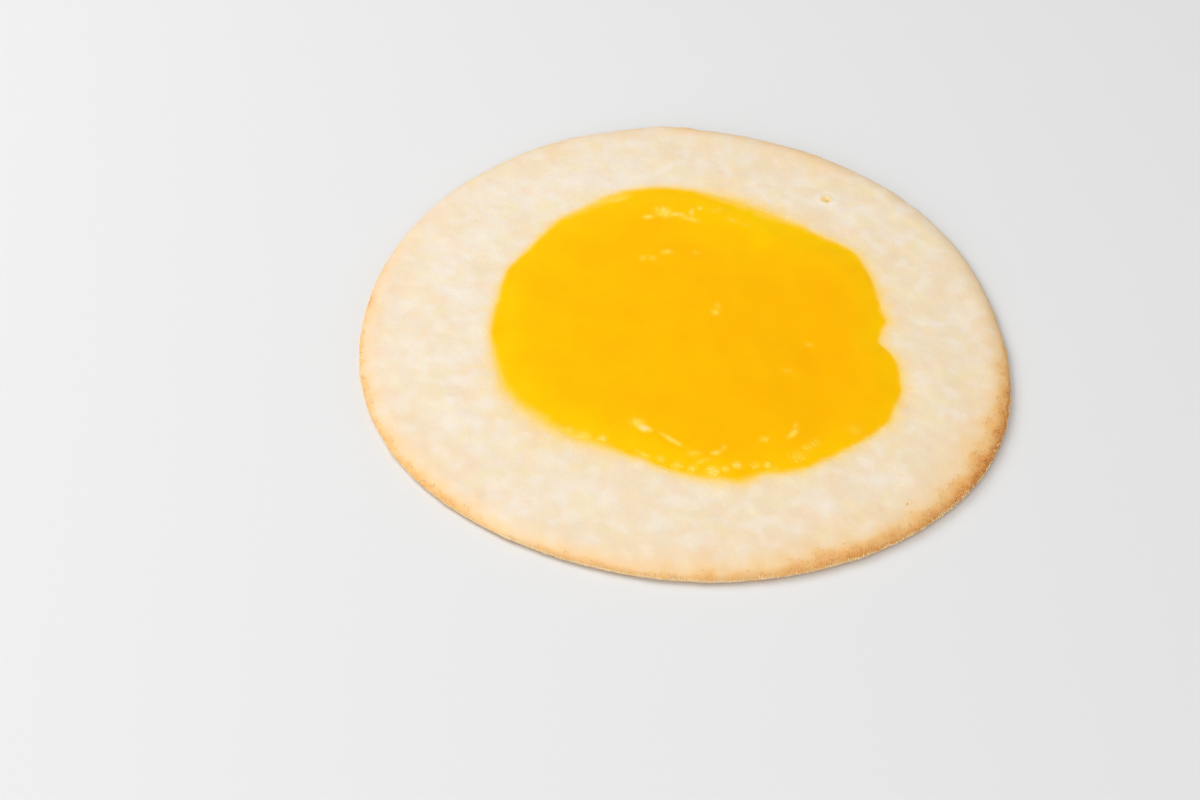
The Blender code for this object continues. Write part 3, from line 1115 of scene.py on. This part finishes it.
# %% Scatter the grains
centres, normals, areas = faces_of(dough)
bearing = np.degrees(polar(centres[:, :2], BISCUIT_MIDDLE)[1])
order = np.argsort(bearing)  # Blender may number the faces differently next time, so their places count instead
centres, normals, areas, bearing = (values[order] for values in (centres, normals, areas, bearing))
browned = toast(centres, normals)
outward = normals[:, 2] > -0.7
sandy = areas * browned * (browned > BROWNED_FROM) * outward
in_front = (bearing > CRUMB_BEARINGS[0]) & (bearing < CRUMB_BEARINGS[1])
level = CRUMB_LEVEL + 0.5 * MM * lumps(centres, 4.0 * MM, layer=8.8)
clumps = np.clip(0.4 + 1.3 * lumps(centres, 1.5 * MM, layer=4.4), 0.05, 1)
crumbly = areas * in_front * outward * halo(centres[:, 2], level, CRUMB_BAND)
crumbly *= clumps * (centres[:, 2] > CRUMB_LOWEST)
chance = np.random.default_rng(11)


def scatter(count, likely, sizes):
    """Copies of the grain on the dough, more of them where likely is larger."""
    copies = []
    for index in chance.choice(len(centres), count, replace=False, p=likely / likely.sum()):
        size = chance.uniform(*sizes)
        facing = Vector(normals[index]).to_track_quat("Z", "Y").to_matrix().to_4x4()
        spin = Matrix.Rotation(chance.uniform(0, math.tau), 4, "Z")
        place = Matrix.Translation(Vector(centres[index] + normals[index] * size * GRAIN_LIFT))
        copy = grain.copy()
        copy.data = grain.data.copy()
        copy.matrix_world = place @ facing @ spin @ Matrix.Scale(size, 4)
        bpy.context.scene.collection.objects.link(copy)
        copies.append(copy)
    return copies


copies = scatter(SAND_COUNT, sandy, SAND_SIZES) + scatter(CRUMB_COUNT, crumbly, CRUMB_SIZES)
bpy.data.objects.remove(grain, do_unlink=True)
print("grains:", len(copies))

# %% Join them
GRAIN_CORNER = math.radians(20)  # edges sharper than this stay sharp
bpy.ops.object.select_all(action="DESELECT")
for copy in copies:
    copy.select_set(True)
rim_grains = copies[0]
bpy.context.view_layer.objects.active = rim_grains
bpy.ops.object.join()
rim_grains.name = "rim_grains"
bpy.ops.object.transform_apply(location=True, rotation=True, scale=True)
bpy.ops.object.shade_smooth_by_angle(angle=GRAIN_CORNER)
print("all grains have", len(rim_grains.data.polygons), "faces")

# %% Grain material
PALE_GRAIN = on_screen(246, 222, 172)
GOLD_GRAIN = on_screen(247, 200, 134)
BROWN_GRAIN = on_screen(196, 130, 66)
# Heights between which the grains turn from pale to toasted, and how far
PALE_BELOW, TOASTED_ABOVE = CRUMB_LEVEL + 0.15 * MM, CRUMB_LEVEL + 0.45 * MM
MOST_TOASTED = 0.75


def grain_finish():
    finish = Finish("toasted_grains")
    colour = finish.mix(finish.between(finish.noise(0.5 * MM, 0), 0.45, 0.57), GOLD_GRAIN, BROWN_GRAIN)
    colour = finish.mix(finish.stored("pale"), colour, PALE_GRAIN)
    finish.set(Base_Color=colour, Roughness=0.5, Specular_IOR_Level=0.4)
    return finish.material


height = read_places(rim_grains)[:, 2]
store(rim_grains, "pale", 1 - MOST_TOASTED * smooth_step(PALE_BELOW, TOASTED_ABOVE, height))
rim_grains.data.materials.clear()
rim_grains.data.materials.append(grain_finish())
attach(rim_grains, "root")

# %% [markdown]
# ## Table and light
# A plain pale table, and the soft light of a studio: one lamp to the left, small enough to make the wet curd
# sparkle, and broad dim ones above and on the other sides that keep the shadows pale.

# %% Table
TABLE_SIZE = 3
TABLE_GAP = 0.01 * MM  # keeps the biscuit's flat underside from lying in the same plane


def table_finish():
    finish = Finish("pale_table")
    finish.set(Base_Color=on_screen(226, 226, 226), Roughness=0.6, Specular_IOR_Level=0.2)
    return finish.material


bpy.ops.mesh.primitive_plane_add(size=TABLE_SIZE, location=(0, 0, -TABLE_GAP))
table = bpy.context.active_object
table.name = "table"
table.data.materials.append(table_finish())

# %% Lamps
# Name, bearing and elevation in degrees, distance and size in metres, and power in watts
LAMPS = (
    ("key_lamp", 155, 46, 0.65, 0.36, 2.08),
    ("top_lamp", 200, 80, 1.1, 0.9, 3.9),
    ("front_fill", 245, 28, 0.9, 0.7, 3.75),
    ("right_fill", -35, 35, 1.2, 0.9, 1.0),
    ("back_fill", 8, 28, 1.0, 0.8, 1.6),
)
WORLD_LIGHT = 0.2


def lamp(name, bearing, elevation, distance, size, power):
    """A square soft lamp that looks at the biscuit."""
    turn, rise = math.radians(bearing), math.radians(elevation)
    away = Vector((math.cos(turn) * math.cos(rise), math.sin(turn) * math.cos(rise), math.sin(rise)))
    bpy.ops.object.light_add(type="AREA", location=away * distance)
    light = bpy.context.active_object
    light.name = name
    light.data.size = size
    light.data.energy = power
    aim(light, (0, 0, 0))


for row in LAMPS:
    lamp(*row)
world = bpy.data.worlds.new("studio")
bpy.context.scene.world = world
world.use_nodes = True
background = world.node_tree.nodes["Background"]
background.inputs["Color"].default_value = (1, 1, 1, 1)
background.inputs["Strength"].default_value = WORLD_LIGHT
bpy.context.scene.view_settings.view_transform = "Standard"
print("lamps:", len(LAMPS))
